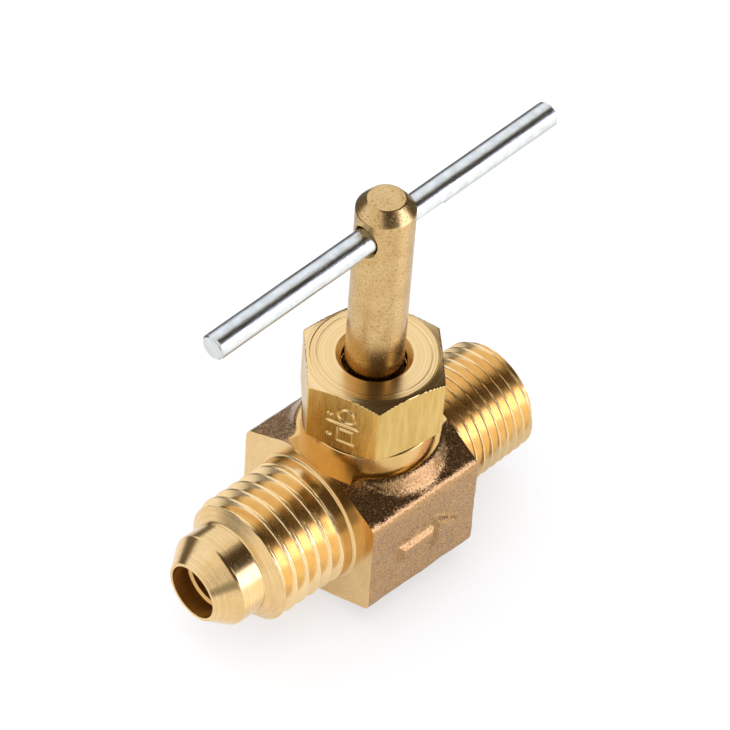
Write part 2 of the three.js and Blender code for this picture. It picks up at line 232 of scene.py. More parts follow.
def round_grid(name, radius, height, slots, slot=0, axis="Z", ring=False):
    """A surface round an axis. radius is (rows, columns) and height is one value for each row.

    Rows run so that the outside is on their right. A ring closes on itself; any other surface
    is closed by a point on the axis at both ends.
    """
    rows, columns = radius.shape
    angle = angles(columns)
    across = radius * np.cos(angle)
    up = radius * np.sin(angle)
    along = np.repeat(np.asarray(height, float)[:, None], columns, 1)
    order = (along, across, up) if axis == "X" else (across, up, along)
    points = np.stack(order, -1).reshape(-1, 3)
    return close_grid(name, points, rows, columns, slots, slot, ring)


def close_grid(name, points, rows, columns, slots, slot, ring):
    steps = rows if ring else rows - 1
    i, j = np.meshgrid(np.arange(steps), np.arange(columns), indexing="ij")
    after = (j + 1) % columns
    above = (i + 1) % rows
    corners = [i * columns + j, i * columns + after, above * columns + after, above * columns + j]
    quads = np.stack(corners, -1).reshape(-1, 4)
    if ring:
        return make_object(name, points, quads, np.zeros((0, 3), int), slots, slot)
    first = points[:columns].mean(0)
    last = points[-columns:].mean(0)
    total = len(points)
    k = np.arange(columns)
    following = (k + 1) % columns
    top = (rows - 1) * columns
    start_cap = np.stack([np.full(columns, total), following, k], -1)
    end_cap = np.stack([np.full(columns, total + 1), top + k, top + following], -1)
    tris = np.concatenate([start_cap, end_cap])
    return make_object(name, np.vstack([points, first, last]), quads, tris, slots, slot)


def rounded_profile(corners, fillet, closed=False, steps=4):
    """(radius, height) corners with their edges rounded and long runs left straight."""
    points = []
    count = len(corners)
    for i, corner in enumerate(corners):
        here = np.array(corner, float)
        if not closed and i in (0, count - 1):
            points.append(here)
            continue
        before = np.array(corners[i - 1], float)
        after = np.array(corners[(i + 1) % count], float)
        reach_in = min(fillet, 0.45 * np.linalg.norm(before - here))
        reach_out = min(fillet, 0.45 * np.linalg.norm(after - here))
        enter = here + (before - here) / np.linalg.norm(before - here) * reach_in
        leave = here + (after - here) / np.linalg.norm(after - here) * reach_out
        for t in np.linspace(0, 1, steps + 1):
            points.append(enter * (1 - t) ** 2 + here * 2 * t * (1 - t) + leave * t * t)
    return np.array(points)


def turned(name, corners, slots, slot=0, fillet=0.08, columns=128, axis="Z", ring=False):
    profile = rounded_profile(corners, fillet, closed=ring)
    radius = np.repeat(np.maximum(profile[:, :1], ON_AXIS), columns, 1)
    return round_grid(name, radius, profile[:, 1], slots, slot, axis, ring)


def boolean(target, tool, operation):
    """Joins, cuts or keeps the common part, and removes the tool."""
    modifier = target.modifiers.new(operation, "BOOLEAN")
    modifier.operation = operation
    modifier.solver = "MANIFOLD"
    modifier.object = tool
    bpy.context.view_layer.update()
    depsgraph = bpy.context.evaluated_depsgraph_get()
    mesh = bpy.data.meshes.new_from_object(target.evaluated_get(depsgraph))
    target.modifiers.clear()
    target.data = mesh
    bpy.data.objects.remove(tool)
    return target


def smooth_shade(piece, crease=32):
    mesh = piece.data
    mesh.polygons.foreach_set("use_smooth", np.ones(len(mesh.polygons), bool))
    mesh.set_sharp_from_angle(angle=math.radians(crease))
    mesh.update()
    return piece


def attach(piece, node, body):
    """Gives a finished piece its moving body and hides the CAD piece it stands for."""
    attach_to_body(piece, body)
    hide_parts(node)


def box_object(name, low, high, slots, slot=0):
    x, y, z = zip(low, high)
    points = np.array([(a, b, c) for a in x for b in y for c in z])
    quads = np.array(
        [(0, 1, 3, 2), (4, 6, 7, 5), (0, 4, 5, 1), (2, 3, 7, 6), (0, 2, 6, 4), (1, 5, 7, 3)]
    )
    return make_object(name, points, quads, np.zeros((0, 3), int), slots, slot)


def thread_radius(thread, height, angle, taper=0.0, taper_from=0.0, depth=THREAD_DEPTH):
    """Outside radius of a right-hand thread with rounded crests and roots."""
    pitch = thread["pitch"]
    turns = (height - thread["crest_at"]) / pitch - (angle - thread["angle"]) / (2 * math.pi)
    from_crest = np.abs(turns - np.round(turns)) * pitch
    crest_half = pitch / 24
    flank = depth * pitch * math.tan(math.pi / 6)
    fall = (from_crest - crest_half) / flank
    rounding = 0.07
    fall = soft_min(soft_max(fall, np.zeros_like(fall), rounding), np.ones_like(fall), rounding)
    return thread["major"] - depth * pitch * fall - taper * (height - taper_from)


# ---------- node graphs ----------
class Graph:
    """A node tree built by calls, each of which gives the new node's output."""

    def __init__(self, tree):
        self.tree = tree
        tree.nodes.clear()

    def add(self, kind, inputs, output=0, **settings):
        node = self.tree.nodes.new("ShaderNode" + kind)
        for key, value in settings.items():
            setattr(node, key, value)
        for key, value in inputs.items():
            if isinstance(value, bpy.types.NodeSocket):
                self.tree.links.new(value, node.inputs[key])
            else:
                node.inputs[key].default_value = value
        return node.outputs[output] if node.outputs else None

    def maths(self, operation, a, b=0.0):
        return self.add("Math", {0: a, 1: b}, operation=operation)

    def split(self, vector):
        """The x, y and z parts of a vector."""
        parts = self.tree.nodes.new("ShaderNodeSeparateXYZ")
        self.tree.links.new(vector, parts.inputs[0])
        return parts.outputs

    def remap(self, value, low, high, to_low, to_high, smooth=False):
        inputs = {"Value": value, 1: low, 2: high, 3: to_low, 4: to_high}
        kind = "SMOOTHSTEP" if smooth else "LINEAR"
        return self.add("MapRange", inputs, interpolation_type=kind)

    def mix(self, factor, a, b, blend="MIX"):
        return self.add("MixRGB", {"Fac": factor, "Color1": a, "Color2": b}, blend_type=blend)

    def noise(self, vector, scale, detail=2.0, rough=0.5):
        inputs = {"Vector": vector, "Scale": scale, "Detail": detail, "Roughness": rough}
        return self.add("TexNoise", inputs, "Fac")

    def bump(self, height, depth_mm, normal=None):
        inputs = {"Height": height, "Distance": depth_mm * MM, "Strength": 1.0}
        if normal is not None:
            inputs["Normal"] = normal
        return self.add("Bump", inputs)

    def millimetres(self):
        place = self.add("TexCoord", {}, "Object")
        place = self.add("VectorMath", {0: place, "Scale": 1 / MM}, operation="SCALE")
        return self.add("VectorMath", {0: place, 1: tuple(FLOW_AXIS)}, operation="SUBTRACT")

    def stretched(self, vector, factors):
        return self.add("VectorMath", {0: vector, 1: factors}, operation="MULTIPLY")

    def round_axis(self, vector, axis):
        """(along the axis, distance from it) as a vector, and the direction round it."""
        x, y, z = self.split(vector)
        along, a, b = (x, y, z) if axis == "X" else (z, x, y)
        squares = self.maths("ADD", self.maths("MULTIPLY", a, a), self.maths("MULTIPLY", b, b))
        distance = self.maths("SQRT", squares)
        pair = self.add("CombineXYZ", {"X": along, "Y": distance})
        direction = (1.0, 0.0, 0.0) if axis == "X" else (0.0, 0.0, 1.0)
        cross = self.add("VectorMath", {0: direction, 1: vector}, operation="CROSS_PRODUCT")
        settings = {"vector_type": "VECTOR", "convert_from": "OBJECT", "convert_to": "WORLD"}
        return pair, self.add("VectorTransform", {"Vector": cross}, **settings)


def new_material(name):
    material = bpy.data.materials.new(name)
    material.use_nodes = True
    return material, Graph(material.node_tree)


def finish_metal(graph, colour, roughness, normal, anisotropy=0.0, tangent=None):
    inputs = {
        "Base Color": colour,
        "Metallic": 1.0,
        "Roughness": roughness,
        "Normal": normal,
        "Anisotropic": anisotropy,
    }
    if tangent is not None:
        inputs["Tangent"] = tangent
    shader = graph.add("BsdfPrincipled", inputs)
    graph.add("OutputMaterial", {"Surface": shader})


def turned_brass(name, axis, colour, dull, roughness=0.18, grooves=0.0026, spots=0.3, marks=0.3):
    """Brass from a lathe: fine rings round the axis, a faint mottle and small dull spots."""
    material, graph = new_material(name)
    place = graph.millimetres()
    rings, around = graph.round_axis(place, axis)
    fine = graph.noise(rings, 10.0, 4.0, 0.7)
    coarse = graph.noise(rings, 1.6, 2.0)
    mottle = graph.noise(place, 0.55, 4.0, 0.6)
    grain = graph.noise(place, 5.5, 3.0, 0.6)
    dullness = graph.remap(grain, 0.53, 0.66, 0.0, spots, smooth=True)
    tint = graph.mix(graph.remap(mottle, 0.35, 0.65, 0.0, 0.4), colour, dull)
    tint = graph.mix(graph.remap(fine, 0.42, 0.62, 0.0, marks), tint, dull)
    tint = graph.mix(dullness, tint, dull)
    rough = graph.remap(fine, 0.3, 0.7, roughness * 0.85, roughness * 1.2)
    rough = graph.maths("ADD", rough, graph.maths("MULTIPLY", dullness, 0.25))
    height = graph.maths("ADD", fine, graph.maths("MULTIPLY", coarse, 1.2))
    normal = graph.bump(height, grooves)
    finish_metal(graph, tint, rough, normal, 0.3, around)
    return material


def forged_brass():
    """Brass as forged and shot-blasted: a sparkling even grain, browner in its hollows."""
    material, graph = new_material("forged_brass_skin")
    place = graph.millimetres()
    cells = graph.add("TexVoronoi", {"Vector": place, "Scale": 8.0}, "Color")
    grain = graph.noise(place, 7.0, 2.0, 0.6)
    patches = graph.noise(place, 0.6, 3.0, 0.55)
    light = (0.465, 0.285, 0.13, 1.0)
    brown = (0.28, 0.15, 0.058, 1.0)
    red = (0.41, 0.23, 0.10, 1.0)
    tint = graph.mix(graph.remap(grain, 0.36, 0.6, 0.0, 1.0), brown, light)
    tint = graph.mix(graph.remap(patches, 0.4, 0.65, 0.0, 0.45), tint, red)
    rough = graph.remap(grain, 0.3, 0.7, 0.2, 0.3)
    spread = graph.add("VectorMath", {0: cells, 1: (0.5, 0.5, 0.5)}, operation="SUBTRACT")
    spread = graph.add("VectorMath", {0: spread, "Scale": 0.18}, operation="SCALE")
    facing = graph.add("NewGeometry", {}, "Normal")
    tilted = graph.add("VectorMath", {0: facing, 1: spread}, operation="ADD")
    tilted = graph.add("VectorMath", {0: tilted}, operation="NORMALIZE")
    normal = graph.bump(grain, 0.02, tilted)
    finish_metal(graph, tint, rough, normal)
    return material


def nut_brass():
    """Cold-drawn hexagon brass: drag marks run up the flats, and rings cross its turned top."""
    material, graph = new_material("nut_brass_skin")
    place = graph.millimetres()
    rings, around = graph.round_axis(place, "Z")
    drag = graph.noise(graph.stretched(place, (9.0, 9.0, 0.5)), 1.0, 3.0, 0.6)
    broad = graph.noise(graph.stretched(place, (1.6, 1.6, 0.25)), 1.0, 3.0, 0.6)
    turning = graph.noise(rings, 5.0, 5.0, 0.75)
    facing = graph.add("NewGeometry", {}, "Normal")
    up = graph.maths("ABSOLUTE", graph.split(facing)[2])
    on_flat = graph.remap(up, 0.2, 0.45, 1.0, 0.0, smooth=True)
    flat_light = (0.66, 0.45, 0.145, 1.0)
    flat_dark = (0.56, 0.36, 0.10, 1.0)
    ring_light = (0.82, 0.60, 0.30, 1.0)
    ring_dark = (0.66, 0.44, 0.18, 1.0)
    flat_tint = graph.mix(graph.remap(broad, 0.35, 0.65, 0.0, 1.0), flat_light, flat_dark)
    ring_tint = graph.mix(graph.remap(turning, 0.4, 0.6, 0.0, 1.0), ring_light, ring_dark)
    tint = graph.mix(on_flat, ring_tint, flat_tint)
    rough = graph.mix(on_flat, (0.2, 0.2, 0.2, 1.0), graph.remap(drag, 0.3, 0.7, 0.2, 0.36))
    ring_height = graph.maths("MULTIPLY", turning, 3.2)
    drag_height = graph.maths("MULTIPLY", drag, 1.6)
    height = graph.mix(on_flat, ring_height, drag_height)
    normal = graph.bump(height, 0.0022)
    finish_metal(graph, tint, rough, normal, 0.25, around)
    return material


def zinc_plate():
    """Bright zinc on drawn wire: long scratches and a slightly cloudy, bluish plate."""
    material, graph = new_material("zinc_plate_skin")
    place = graph.millimetres()
    streaks = graph.noise(graph.stretched(place, (0.35, 6.0, 6.0)), 1.0, 4.0, 0.65)
    cloud = graph.noise(place, 1.1, 4.0, 0.6)
    bright = (0.67, 0.69, 0.665, 1.0)
    cloudy = (0.56, 0.58, 0.565, 1.0)
    tint = graph.mix(graph.remap(cloud, 0.35, 0.65, 0.0, 1.0), bright, cloudy)
    rough = graph.remap(streaks, 0.3, 0.7, 0.14, 0.3)
    grit = graph.maths("MULTIPLY", graph.noise(place, 7.0, 3.0, 0.7), 1.6)
    height = graph.maths("ADD", streaks, graph.maths("MULTIPLY", cloud, 0.5))
    normal = graph.bump(graph.maths("ADD", height, grit), 0.009)
    finish_metal(graph, tint, rough, normal)
    return material


def white_packing():
    """Soft white fluoropolymer with a waxy, slightly scuffed face."""
    material, graph = new_material("white_packing_skin")
    place = graph.millimetres()
    cloud = graph.noise(place, 1.5, 3.0)
    scuffs = graph.noise(place, 8.0, 3.0, 0.6)
    tint = graph.mix(cloud, (0.86, 0.85, 0.82, 1.0), (0.78, 0.77, 0.73, 1.0))
    inputs = {
        "Base Color": tint,
        "Roughness": graph.remap(scuffs, 0.3, 0.7, 0.35, 0.55),
        "Normal": graph.bump(scuffs, 0.01),
    }
    graph.add("OutputMaterial", {"Surface": graph.add("BsdfPrincipled", inputs)})
    return material


BRASS = (0.80, 0.57, 0.28, 1.0)
BRASS_DULL = (0.62, 0.40, 0.16, 1.0)
# Painted shade: a deeper, more orange copy of the brass, used round the neck and in the bores, stands in
# for the darker colour that light bouncing between brass faces gives.
SHADED_BRASS = (0.77, 0.51, 0.20, 1.0)
SHADED_BRASS_DULL = (0.60, 0.36, 0.12, 1.0)
STEM_BRASS = (0.65, 0.45, 0.21, 1.0)
STEM_BRASS_DULL = (0.42, 0.25, 0.08, 1.0)
# Painted highlight: a paler, brighter copy of the brass for the threads, so that their highlights come
# out nearly white.
LIT_THREAD_BRASS = (0.87, 0.66, 0.36, 1.0)
LIT_THREAD_BRASS_DULL = (0.74, 0.50, 0.22, 1.0)
forged = forged_brass()
turned_x = turned_brass("flow_axis_brass_skin", "X", BRASS, BRASS_DULL, grooves=0.003, marks=0.6)
# The neck-axis brass takes the painted-shade copy of the brass.
turned_z = turned_brass("neck_axis_brass_skin", "Z", SHADED_BRASS, SHADED_BRASS_DULL)
# The threads take the painted-highlight copy of the brass.
threaded = turned_brass("thread_brass_skin", "X", LIT_THREAD_BRASS, LIT_THREAD_BRASS_DULL)
# The bores take the same painted-shade copy of the brass.
bored = turned_brass("bored_brass_skin", "X", SHADED_BRASS, SHADED_BRASS_DULL, roughness=0.3)
stem_skin = turned_brass(
    "stem_brass_skin", "Z", STEM_BRASS, STEM_BRASS_DULL, roughness=0.24, grooves=0.002, spots=0.9
)
nut_skin = nut_brass()
zinc = zinc_plate()
packing = white_packing()

BODY_SLOTS = [forged, turned_x, turned_z, bored, threaded]
FORGED, ALONG_FLOW, ALONG_NECK, BORED, THREADED = range(5)


# ---------- valve body ----------
def arrow_height(x, z):
    """Raised flow arrow on the marked flat, as a share of its full height."""
    tail, barb, head = -3.3, 0.5, 3.3
    shaft, wing, middle = 0.7, 1.75, -0.6
    full_inside, gone_outside = -0.4, 0.3
    across = np.abs(z - middle)
    in_shaft = np.maximum(np.maximum(tail - x, x - barb), across - shaft)
    slope = wing / (head - barb)
    in_head = np.maximum(barb - x, (across - slope * (head - x)) / math.hypot(1, slope))
    return 1 - ease(full_inside, gone_outside, np.minimum(in_shaft, in_head))


def block_distance(x, y, z):
    """Signed distance, in mm, to the forged block with its ring."""
    roof_run = RIDGE - SIDE_TOP
    roof_length = math.hypot(roof_run, HALF_WIDTH)
    drop = np.where(y > 0, BACK_DROP, 0.0)
    roof = ((z - RIDGE + drop) * HALF_WIDTH + np.abs(y) * roof_run) / roof_length
    raised = np.where(y < 0, arrow_height(x, z), 0.0) * ARROW_RAISE
    side = np.abs(y) - HALF_WIDTH - raised
    belly_rise = SIDE_BOTTOM - KEEL
    belly_reach = HALF_WIDTH - KEEL_HALF_WIDTH
    belly_length = math.hypot(belly_rise, belly_reach)
    belly = ((SIDE_BOTTOM - z) * belly_reach + (np.abs(y) - HALF_WIDTH) * belly_rise) / belly_length
    section = soft_max(side, roof, ROOF_EDGE)
    section = soft_max(section, belly, BELLY_EDGE)
    section = soft_max(section, KEEL - z, BELLY_EDGE)
    section = soft_max(section, z - FORGED_TOP, TOP_EDGE)
    ring_run = RING_FOOT_RADIUS - RING_TOP_RADIUS
    ring_drop = RING_TOP - RING_FOOT
    ring = (np.hypot(x, y) - RING_TOP_RADIUS) * ring_drop + (z - RING_TOP) * ring_run
    ring = np.maximum(ring / math.hypot(ring_run, ring_drop), RING_FOOT - RING_BURIED - z)
    ring = soft_max(ring, z - RING_TOP, TOP_EDGE)
    joined = soft_min(section, ring, RING_FILLET)
    joined = soft_max(joined, x - BLOCK_RIGHT, END_EDGE)
    return joined + 0.016 * ripple(x, y, z, 7, 3.2) + 0.008 * ripple(x, y, z, 8, 1.1)


def forged_block():
    """The forging, found along rays from the flow axis, then faced on its flare side and top."""
    columns = 440
    row_step = 0.1
    last_upright = BLOCK_RIGHT - 1.3
    upright = np.append(np.arange(BLOCK_LEFT - 0.8, last_upright, row_step), last_upright)
    leaning = np.concatenate([np.linspace(0.6, 16, 30), np.linspace(20, 84, 12)])
    origins = np.concatenate([upright, np.full(len(leaning), last_upright)])
    tilt = np.radians(np.concatenate([np.zeros(len(upright)), leaning]))[:, None]
    angle = angles(columns)
    direction = np.stack(
        [
            np.sin(tilt) + 0 * angle,
            np.cos(tilt) * np.cos(angle),
            np.cos(tilt) * np.sin(angle),
        ],
        -1,
    )
    origin = np.zeros_like(direction)
    origin[..., 0] = origins[:, None]
    surely_inside, surely_outside, halvings = 0.3, 13.0, 26
    near = np.full(direction.shape[:2], surely_inside)
    far = np.full(direction.shape[:2], surely_outside)
    for _ in range(halvings):
        middle = (near + far) / 2
        point = origin + direction * middle[..., None]
        inside = block_distance(point[..., 0], point[..., 1], point[..., 2]) < 0
        near = np.where(inside, middle, near)
        far = np.where(inside, far, middle)
    points = (origin + direction * far[..., None]).reshape(-1, 3)
    rows = len(origins)
    block = close_grid("valve_body_visual", points, rows, columns, BODY_SLOTS, FORGED, False)
    beyond = 20
    facing = box_object(
        "facing", (BLOCK_LEFT, -beyond, -beyond), (beyond, beyond, beyond), BODY_SLOTS, ALONG_FLOW
    )
    boolean(block, facing, "INTERSECT")
    spot_face = turned(
        "spot_face",
        [(0, SHOULDER), (SPOT_FACE, SHOULDER), (SPOT_FACE, beyond), (0, beyond)],
        BODY_SLOTS,
        ALONG_NECK,
        fillet=0.03,
    )
    return boolean(block, spot_face, "DIFFERENCE")


def flare_end():
    """Flare nose, its thread and the smooth collar that runs into the block."""
    columns = 200
    step = 0.035
    buried = 0.8
    nose_edge, lead_edge = 0.12, 0.06
    run_out_slope = 2.0
    cove_height, cove_reach = 0.25, 0.22
    x = np.arange(FLARE_TIP, BLOCK_LEFT + buried, step)[:, None]
    angle = angles(columns)[None]
    cone = FLARE_RIM + (x - FLARE_TIP) * (FLARE_LAND - FLARE_RIM) / (FLARE_CONE_END - FLARE_TIP)
    nose = soft_min(cone, np.full_like(x, FLARE_LAND), nose_edge)
    climb = (FLARE_CHAMFER_RADIUS - FLARE_LAND) / (FLARE_CHAMFER_END - FLARE_LAND_END)
    chamfer = FLARE_LAND + (x - FLARE_LAND_END) * climb
    envelope = soft_max(nose, chamfer, nose_edge)
    thread = thread_radius(FLARE_THREAD, x, angle)
    run_out = COLLAR - np.maximum(FLARE_THREAD_END - x, 0) * run_out_slope
    screw = soft_max(thread, run_out + 0 * angle, THREAD_EDGE)
    cove = cove_height * ease(-cove_reach, 0.0, x - BLOCK_LEFT) ** 2
    radius = soft_min(screw + cove, envelope + 0 * angle, lead_edge)
    end = round_grid("flare_end", radius, x[:, 0], BODY_SLOTS, ALONG_FLOW, "X")
    past_chamfer = x[1:, 0] > FLARE_CHAMFER_END + 0.1
    before_collar = x[1:, 0] < FLARE_THREAD_END + 0.25
    row_skins = np.where(past_chamfer & before_collar, THREADED, ALONG_FLOW)
    skins = np.full(len(end.data.polygons), ALONG_FLOW, np.int32)
    skins[: len(row_skins) * columns] = np.repeat(row_skins, columns)
    end.data.polygons.foreach_set("material_index", skins)
    return end


def pipe_end():
    """Tapered pipe thread with a chamfered tip, buried in the block at its other end."""
    columns = 200
    step = 0.033
    buried = 1.0
    x = np.append(np.arange(BLOCK_RIGHT - buried, PIPE_TIP, step), PIPE_TIP)[:, None]
    angle = angles(columns)[None]
    thread = thread_radius(PIPE_THREAD, x, angle, PIPE_TAPER, PIPE_TIP, PIPE_THREAD_DEPTH)
    slope = (PIPE_CHAMFER_RADIUS - PIPE_TIP_RADIUS) / (PIPE_TIP - PIPE_CHAMFER_START)
    chamfer = PIPE_TIP_RADIUS + (PIPE_TIP - x) * slope
    radius = soft_min(thread, chamfer + 0 * angle, THREAD_EDGE)
    return round_grid("pipe_end", radius, x[:, 0], BODY_SLOTS, THREADED, "X")


def neck():
    """Plain turned shoulder with the packing nut's thread above it."""
    columns = 180
    step = 0.04
    buried_to = 4.0
    break_edge = 0.06
    mouth, mouth_slope = 3.9, 1.15
    plain = np.array([buried_to, SHOULDER, NECK_STEP - break_edge, NECK_STEP])
    plain_radius = np.array([NECK_RADIUS, NECK_RADIUS, NECK_RADIUS, NECK_RADIUS - break_edge])
    z = np.arange(NECK_STEP + 1e-3, NECK_TOP, step)
    angle = angles(columns)[None]
    thread = thread_radius(NECK_THREAD, z[:, None], angle)
    bevel = mouth + (NECK_TOP - z[:, None]) * mouth_slope
    screw = soft_min(thread, bevel + 0 * angle, THREAD_EDGE)
    radius = np.concatenate([np.repeat(plain_radius[:, None], columns, 1), screw])
    return round_grid("neck", radius, np.concatenate([plain, z]), BODY_SLOTS, ALONG_NECK)


def passages():
    """Everything drilled, bored and tapped out of the body, as one solid."""
    flare_bore = turned(
        "flare_bore",
        [
            (0, FLARE_TIP - 1),
            (COUNTERBORE, FLARE_TIP - 1),
            (COUNTERBORE, COUNTERBORE_END),
            (FLARE_BORE, COUNTERBORE_END + 0.15),
            (FLARE_BORE, FLARE_BORE_END),
            (0, FLARE_BORE_POINT),
        ],
        BODY_SLOTS,
        BORED,
        fillet=0.03,
        axis="X",
    )
    low_port = turned(
        "low_port",
        [(0, LOW_PORT_START), (LOW_PORT, LOW_PORT_START), (LOW_PORT, 0), (0, 0)],
        BODY_SLOTS,
        BORED,
        axis="X",
    )
    low_port.data.transform(Matrix.Translation((0, 0, -LOW_PORT_DROP * MM)))
    pipe_bore = turned(
        "pipe_bore",
        [
            (0, PIPE_BORE_START),
            (PIPE_BORE, PIPE_BORE_START),
            (PIPE_BORE, PIPE_TIP + 1),
            (0, PIPE_TIP + 1),
        ],
        BODY_SLOTS,
        BORED,
        axis="X",
    )
    columns = 120
    angle = angles(columns)[None]
    gap = 0.02
    seat = np.array(
        [
            (SEAT_BORE, SEAT_BORE_BOTTOM),
            (SEAT_BORE, SEAT_EDGE),
            (SEAT_MOUTH, CHAMBER_FLOOR),
            (CHAMBER, CHAMBER_FLOOR),
            (CHAMBER, TAP_START - gap),
        ]
    )
    z = np.arange(TAP_START, PACKING_FLOOR - gap, 0.04)
    tap = thread_radius(STEM_THREAD, z[:, None], angle) + THREAD_FIT
    packing_box = np.array(
        [(CHAMBER, PACKING_FLOOR), (PACKING_BOX, PACKING_FLOOR), (PACKING_BOX, NECK_TOP + 1)]
    )
    radius = np.concatenate(
        [
            np.repeat(seat[:, :1], columns, 1),
            tap,
            np.repeat(packing_box[:, :1], columns, 1),
        ]
    )
    height = np.concatenate([seat[:, 1], z, packing_box[:, 1]])
    stack = round_grid("stack", radius, height, BODY_SLOTS, ALONG_NECK)
    for tool in (flare_bore, low_port, pipe_bore):
        boolean(stack, tool, "UNION")
    return stack


def valve_body():
    body = forged_block()
    for part in (flare_end(), pipe_end(), neck()):
        boolean(body, part, "UNION")
    boolean(body, passages(), "DIFFERENCE")
    smooth_shade(body, 34)
    attach(body, "valve_body", "valve_body")


# ---------- packing nut ----------
def stamp_depth(across, height):
    """Generic stamped marks on one flat: a circle, a square, a line between them and two dots."""
    depth, stroke, edge = 0.13, 0.03, 0.16
    middle, dot_across, dot_radius = 0.35, -1.1, 0.12
    circle = np.abs(np.hypot(across - middle, height - 12.55) - 0.72)
    square = np.abs(np.maximum(np.abs(across - middle), np.abs(height - 10.25)) - 0.68)
    upper_dot = np.hypot(across - dot_across, height - 12.3)
    lower_dot = np.hypot(across - dot_across, height - 10.0)
    dots = np.minimum(upper_dot, lower_dot) - dot_radius
    line = np.hypot(np.maximum(np.abs(across) - 1.3, 0), height - 11.45)
    away = np.minimum(np.minimum(circle, square), np.minimum(dots, line))
    return depth * (1 - ease(stroke, edge, away))


def packing_nut():
    columns = 540
    unbounded = 99.0
    angle = angles(columns)[None]
    flat = NUT_CORNER * math.cos(math.pi / 6)
    outside = np.linspace(NUT_BOTTOM, NUT_TOP, 120)[:, None]
    hexagon = np.full((len(outside), columns), unbounded)
    for k in range(6):
        normal = NUT_FIRST_CORNER + math.pi / 6 + k * math.pi / 3
        facing = np.cos(angle - normal)
        reach = np.where(facing > 0.3, flat / np.maximum(facing, 0.3), unbounded) + 0 * outside
        hexagon = soft_min(hexagon, reach, 0.12)
    facing = np.cos(angle - MARKED_FLAT)
    near_mark = facing > math.cos(math.pi / 6)
    across = np.sin(angle - MARKED_FLAT) * flat / np.maximum(facing, 0.5)
    stamp = np.where(near_mark, stamp_depth(across + 0 * outside, outside + 0 * across), 0.0)
    hexagon = hexagon - stamp
    top_cone = 5.2 + (NUT_TOP - outside) * 2.35
    bottom_cone = 5.55 + (outside - NUT_BOTTOM) * 2.6
    shell = soft_min(hexagon, soft_min(top_cone, bottom_cone, 0.02) + 0 * angle, 0.07)
    top = np.array(
        [
            (5.14, NUT_TOP - 0.05),
            (5.08, NUT_TOP - 0.01),
            (4.7, NUT_TOP),
            (4.66, NUT_TOP - 0.03),
            (4.62, NUT_TOP - 0.03),
            (4.58, NUT_TOP),
            (4.0, NUT_TOP),
            (3.5, NUT_TOP),
            (NUT_COUNTERSINK + 0.05, NUT_TOP),
            (NUT_COUNTERSINK, NUT_TOP - 0.03),
            (NUT_HOLE + 0.02, NUT_TOP - 0.42),
            (NUT_HOLE, NUT_TOP - 0.46),
            (NUT_HOLE, NUT_ROOF),
        ]
    )
    inside = np.linspace(NUT_ROOF, NUT_BOTTOM, 126)[:, None]
    cavity = np.interp(inside, [9.0, 9.4], [5.06, 4.4])
    under_gland = inside < gland_high[2] - GLAND_FLANGE_HEIGHT
    tap = np.where(under_gland, thread_radius(NECK_THREAD, inside, angle) + THREAD_FIT, 0.0)
    bore = np.maximum(cavity + 0 * angle, tap)
    radius = np.concatenate([shell, np.repeat(top[:, :1], columns, 1), bore])
    height = np.concatenate([outside[:, 0], top[:, 1], inside[:, 0]])
    nut = round_grid("packing_nut_visual", radius, height, [nut_skin], ring=True)
    smooth_shade(nut, 14)
    attach(nut, "packing_nut", "packing_nut")


# ---------- stem, handle and packing ----------
def stem():
    """The rod with its needle, its thread and the countersunk cross hole for the bar."""
    columns = 160
    angle = angles(columns)[None]
    needle = rounded_profile(
        [
            (ON_AXIS, STEM_TIP),
            (NEEDLE_TIP_RADIUS, STEM_TIP),
            (NEEDLE_RADIUS, NEEDLE_TAPER_TOP),
            (NEEDLE_RADIUS, STEM_SHOULDER),
            (SEAL_OUTER, STEM_SHOULDER),
        ],
        0.06,
    )
    core, lead_end, full_from = 2.0, 6.02, 5.6
    z = np.arange(STEM_SHOULDER + 0.01, STEM_THREAD_TOP, 0.035)[:, None]
    lead = STEM_RADIUS + np.minimum(z - STEM_SHOULDER, lead_end - z)
    screw = soft_min(thread_radius(STEM_THREAD, z, angle), lead + 0 * angle, THREAD_EDGE)
    screw = np.maximum(screw, np.where(z > full_from, STEM_RADIUS, core))
    shank = rounded_profile(
        [
            (STEM_RADIUS, STEM_THREAD_TOP + 0.02),
            (STEM_RADIUS, STEM_CHAMFER_START),
            (STEM_TOP_RADIUS, STEM_TOP),
            (ON_AXIS, STEM_TOP),
        ],
        0.12,
    )
    radius = np.concatenate(
        [np.repeat(needle[:, :1], columns, 1), screw, np.repeat(shank[:, :1], columns, 1)]
    )
    height = np.concatenate([needle[:, 1], z[:, 0], shank[:, 1]])
    rod = round_grid("stem_visual", radius, height, [stem_skin])
    bore, mouth, straight, mouth_end, beyond = 1.17, 1.6, 2.0, 2.45, 4
    half = [(bore, straight), (mouth, mouth_end), (mouth, beyond), (0, beyond)]
    other_half = [(radius, -along) for radius, along in reversed(half)]
    hole = turned("hole", other_half + half, [stem_skin], axis="X")
    turn = Matrix.Translation((0, 0, BAR_Z * MM)) @ Matrix.Rotation(BAR_YAW, 4, "Z")
    hole.data.transform(turn)
    boolean(rod, hole, "DIFFERENCE")
    smooth_shade(rod, 34)
    attach(rod, "stem", "stem")


